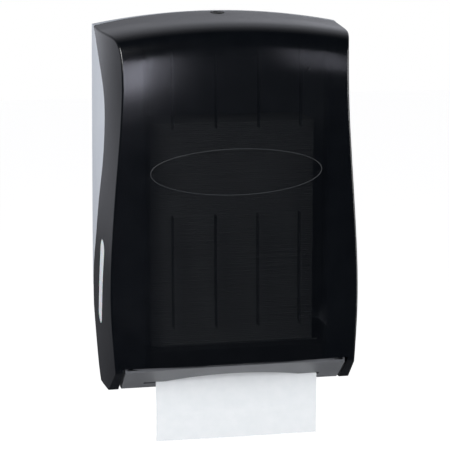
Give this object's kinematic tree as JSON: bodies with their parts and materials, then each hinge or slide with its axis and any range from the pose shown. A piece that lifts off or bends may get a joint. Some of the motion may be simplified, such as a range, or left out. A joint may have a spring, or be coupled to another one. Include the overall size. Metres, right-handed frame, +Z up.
{
  "type": "folded paper towel dispenser",
  "caption": "Wall-mounted dispenser for folded paper towels, with a hinged smoke cover, a grey housing, a sloped chin with a towel slot, and a key lock on top.",
  "frame": {"origin": "middle of the four wall screws, on the back face that lies on the wall", "axes": "+X to the viewer's right, +Y into the wall, +Z up"},
  "size_m": [0.33, 0.1487, 0.5483],
  "materials": {
    "smoke_plastic": "clear smoke-tinted moulding, glossy",
    "milky_plastic": "pale milky moulding, satin",
    "light_grey_plastic": "fine-textured moulding",
    "dark_grey_plastic": "fine-textured moulding",
    "steel": "zinc-plated",
    "black_metal": "black coating",
    "towel_paper": "soft embossed paper"
  },
  "bodies": {
    "base": {"back_housing": "light_grey_plastic", "towel_tray": "dark_grey_plastic", "towel_shelf": "dark_grey_plastic", "left_hinge_pin": "steel", "right_hinge_pin": "steel", "strike_bracket": "steel", "strike_screws": "steel", "tray_screws": "steel", "shelf_screws": "steel", "towel_stack": "towel_paper"},
    "cover": {"front_cover": "smoke_plastic", "left_side_window": "milky_plastic", "right_side_window": "milky_plastic", "lock_barrel": "black_metal", "lock_washer": "steel", "lock_nut": "steel"},
    "lock": {"lock_plug": "black_metal", "lock_cam": "steel", "cam_screw": "steel"},
    "towel": {"leading_towel": "towel_paper"}
  },
  "joints": [
    {"name": "cover_hinge", "type": "hinge", "parent": "base", "child": "cover", "pos_m": [0, -0.118, -0.221], "axis": [1, 0, 0], "range_deg": [0, 100]},
    {"name": "lock_turn", "type": "hinge", "parent": "cover", "child": "lock", "pos_m": [0, -0.02, 0.215], "axis": [0, 0, -1], "range_deg": [0, 90]},
    {"name": "towel_pull", "type": "slide", "parent": "base", "child": "towel", "axis": [0, 0, -1], "range_m": [0, 0.1]}
  ]
}
